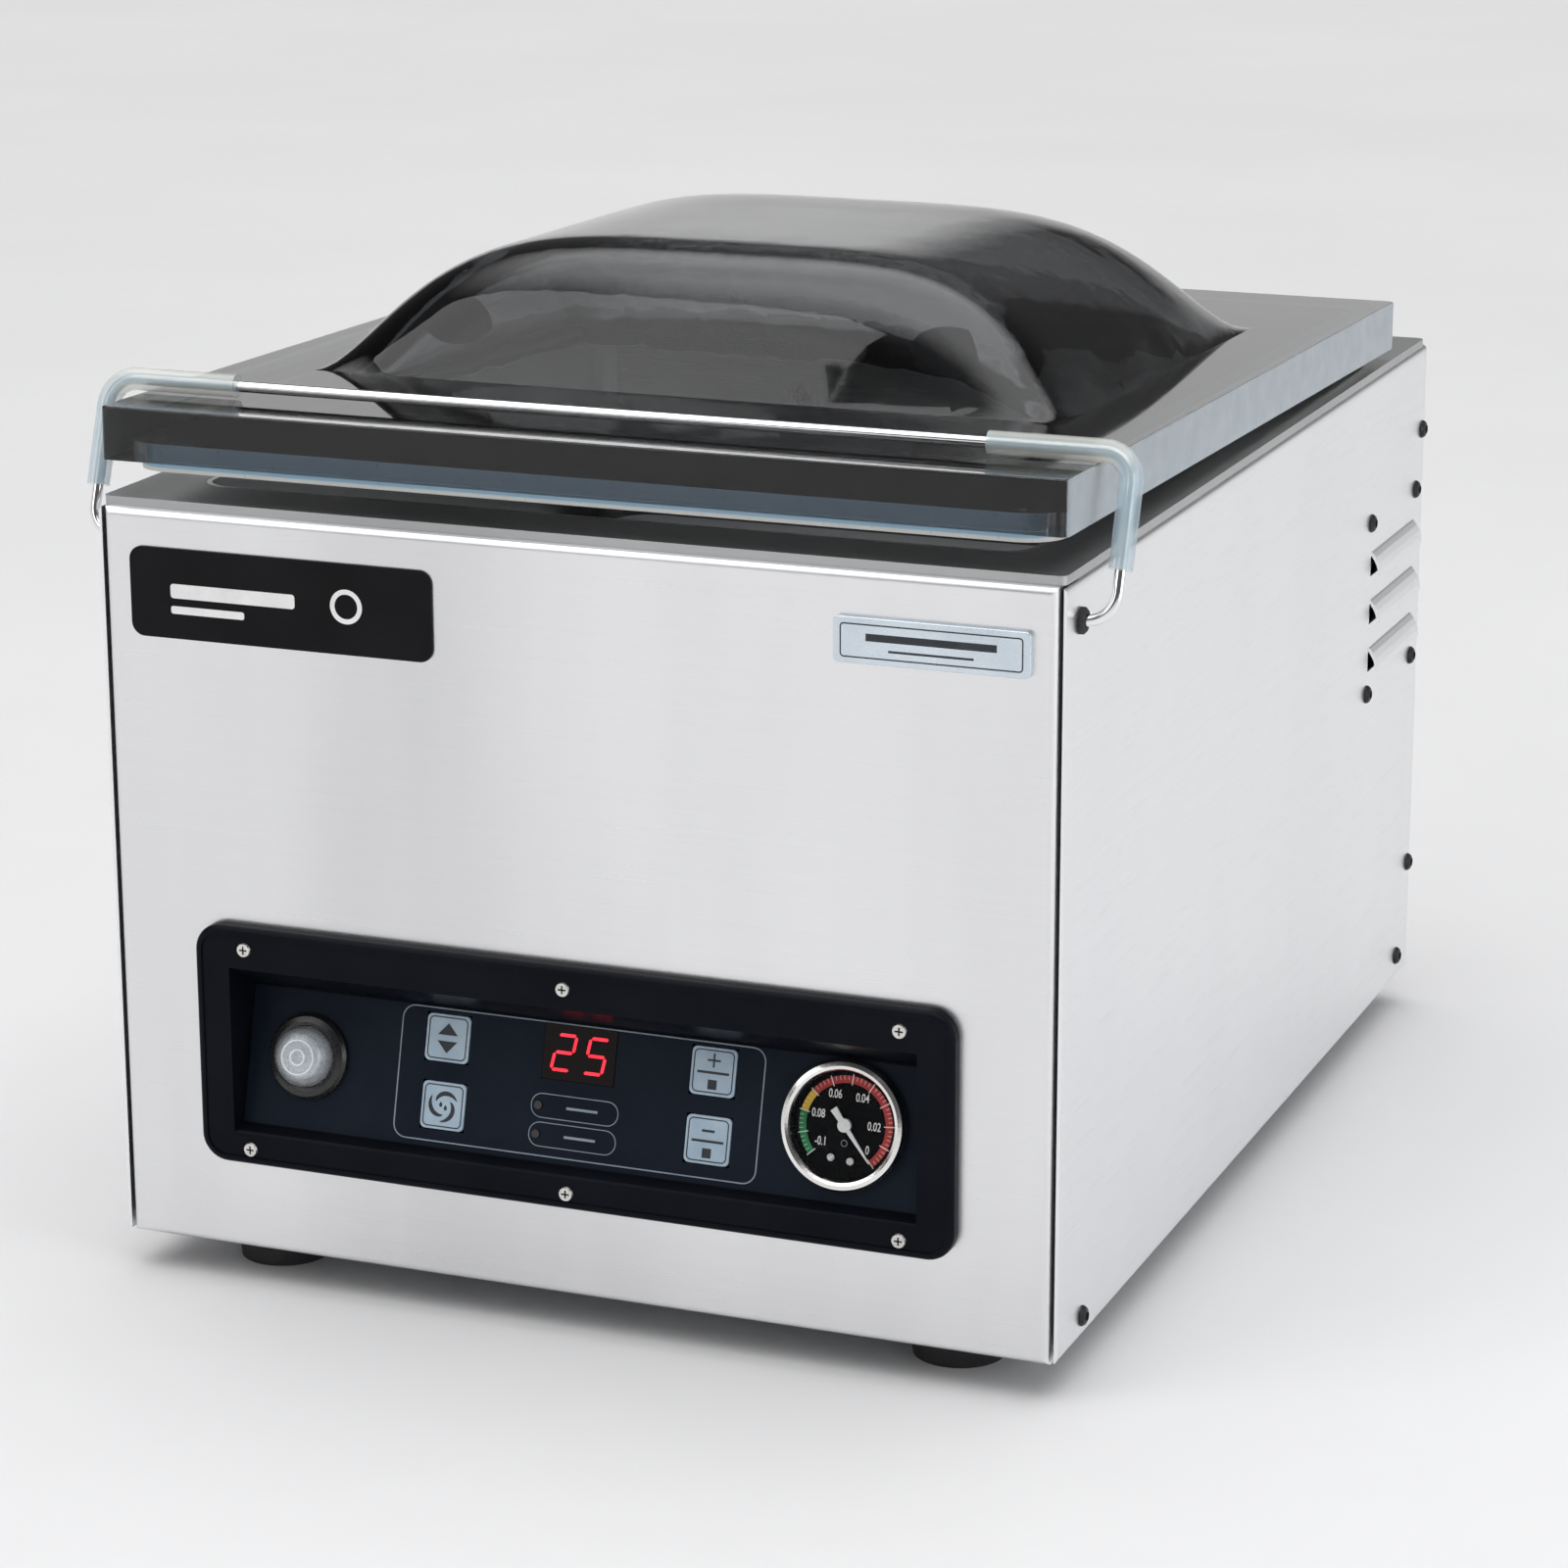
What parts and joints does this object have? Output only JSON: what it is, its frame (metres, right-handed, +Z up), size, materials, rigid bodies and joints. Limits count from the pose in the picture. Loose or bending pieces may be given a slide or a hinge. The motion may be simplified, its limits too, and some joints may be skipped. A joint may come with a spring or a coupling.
{
  "type": "vacuum chamber sealer",
  "caption": "Countertop chamber vacuum sealer: steel cabinet, hinged smoked domed lid with wire bail, recessed keypad, dial gauge, push switch and lifting seal bar.",
  "frame": {"origin": "on the surface under the feet, at the middle of the whole machine's width and depth", "axes": "+Z up, +Y from the front with the controls to the back with the mains inlet, +X to the right as seen from the front"},
  "size_m": [0.3912, 0.4872, 0.3693],
  "materials": {
    "panel_steel": "horizontal brushed stainless sheet",
    "side_steel": "fine brushed stainless sheet",
    "deck_steel": "dark satin stainless plate",
    "chamber_steel": "polished stainless",
    "base_steel": "zinc plated sheet",
    "foot_rubber": "matt",
    "black_screw": "black oxide",
    "bright_screw": "nickel plated",
    "bezel_plastic": "fine textured",
    "keypad_film": "fine textured film",
    "key_film": "satin film",
    "display_red": "dark red window",
    "lamp_red": "clear red lens",
    "board_green": "solder mask",
    "black_plastic": "satin",
    "clear_boot": "clear silicone",
    "gauge_steel": "bright ring",
    "dial_black": "printed dial",
    "dial_glass": "flat clear window",
    "needle_white": "white enamel",
    "badge_black": "satin film",
    "nameplate_silver": "satin anodised",
    "seal_aluminium": "extruded",
    "seal_tape": "coated glass cloth",
    "bright_steel": "polished",
    "white_board": "polyethylene",
    "smoked_acrylic": "polished smoked acrylic",
    "gasket_silicone": "translucent silicone",
    "pad_silicone": "silicone pad on a plastic carrier",
    "bail_steel": "polished wire",
    "sleeve_silicone": "translucent silicone tube",
    "fan_plastic": "moulded",
    "pump_iron": "cast and painted",
    "motor_paint": "semi gloss",
    "mount_rubber": "soft",
    "transformer_iron": "lacquered laminations",
    "valve_brass": "machined",
    "hose_rubber": "reinforced hose",
    "port_steel": "turned",
    "inlet_plastic": "moulded",
    "spring_steel": "drawn wire"
  },
  "bodies": {
    "cabinet": {"front_panel": "panel_steel", "right_side_panel": "side_steel", "left_side_panel": "side_steel", "rear_panel": "side_steel", "side_panel_screws": "black_screw", "fan_screws": "black_screw", "base_plate": "base_steel", "rubber_feet": "foot_rubber", "deck_plate": "deck_steel", "chamber_tub": "chamber_steel", "filler_plates": "white_board", "control_bezel": "bezel_plastic", "bezel_screws": "bright_screw", "keypad_overlay": "keypad_film", "display_window": "display_red", "indicator_leds": "lamp_red", "control_board": "board_green", "board_standoffs": "black_plastic", "gauge_case": "black_plastic", "gauge_ring": "gauge_steel", "gauge_dial": "dial_black", "gauge_glass": "dial_glass", "switch_collar": "black_plastic", "switch_body": "black_plastic", "left_badge": "badge_black", "nameplate": "nameplate_silver", "seal_lift_cylinders": "seal_aluminium", "hinge_brackets": "bright_steel", "hinge_pins": "bright_steel", "hinge_springs": "spring_steel", "bail_grommets": "foot_rubber", "fan_housing": "fan_plastic", "pump_body": "pump_iron", "pump_motor": "motor_paint", "pump_mounts": "mount_rubber", "transformer": "transformer_iron", "solenoid_valve": "valve_brass", "vacuum_port": "port_steel", "vacuum_hose": "hose_rubber", "gauge_hose": "hose_rubber", "power_inlet": "inlet_plastic"},
    "lid": {"lid_shell": "smoked_acrylic", "lid_gasket": "gasket_silicone", "lid_pad_bar": "pad_silicone", "dome_discs": "mount_rubber", "lid_hinge_straps": "bright_steel"},
    "bail": {"bail_wire": "bail_steel", "bail_sleeves": "sleeve_silicone"},
    "power_button": {"power_button_cap": "black_plastic", "switch_boot": "clear_boot"},
    "up_down_key": {"key_up_down": "key_film"},
    "mode_key": {"key_mode": "key_film"},
    "plus_key": {"key_plus": "key_film"},
    "minus_key": {"key_minus": "key_film"},
    "needle": {"gauge_needle": "needle_white"},
    "sealing_bar": {"seal_bar": "seal_aluminium", "seal_tape": "seal_tape", "seal_lift_rods": "bright_steel"},
    "fan": {"fan_rotor": "fan_plastic"}
  },
  "joints": [
    {"name": "lid_hinge", "type": "hinge", "parent": "cabinet", "child": "lid", "pos_m": [0, 0.20205, 0.2975], "axis": [-1, 0, 0], "range_deg": [-1.09, 80], "stiffness_Nm_per_rad": 3.6, "springref_deg": 100.27},
    {"name": "bail_swing", "type": "hinge", "parent": "cabinet", "child": "bail", "pos_m": [0, -0.22195, 0.2724], "axis": [1, 0, 0], "range_deg": [0, 172]},
    {"name": "power_button_press", "type": "slide", "parent": "cabinet", "child": "power_button", "axis": [0, 0.9668, -0.2554], "range_m": [0, 0.002], "stiffness_N_per_m": 900},
    {"name": "up_down_key_press", "type": "slide", "parent": "cabinet", "child": "up_down_key", "axis": [0, 0.9668, -0.2554], "range_m": [0, 0.0005], "stiffness_N_per_m": 2500},
    {"name": "mode_key_press", "type": "slide", "parent": "cabinet", "child": "mode_key", "axis": [0, 0.9668, -0.2554], "range_m": [0, 0.0005], "stiffness_N_per_m": 2500},
    {"name": "plus_key_press", "type": "slide", "parent": "cabinet", "child": "plus_key", "axis": [0, 0.9668, -0.2554], "range_m": [0, 0.0005], "stiffness_N_per_m": 2500},
    {"name": "minus_key_press", "type": "slide", "parent": "cabinet", "child": "minus_key", "axis": [0, 0.9668, -0.2554], "range_m": [0, 0.0005], "stiffness_N_per_m": 2500},
    {"name": "gauge_needle_turn", "type": "hinge", "parent": "cabinet", "child": "needle", "pos_m": [0.1, -0.22923, 0.08839], "axis": [0, -0.9668, 0.2554], "range_deg": [0, 270], "stiffness_Nm_per_rad": 0.002},
    {"name": "seal_bar_lift", "type": "slide", "parent": "cabinet", "child": "sealing_bar", "axis": [0, 0, 1], "range_m": [0, 0.01]},
    {"name": "fan_spin", "type": "hinge", "parent": "cabinet", "child": "fan", "pos_m": [0.1558, 0.19205, 0.192], "axis": [1, 0, 0], "continuous": true}
  ]
}
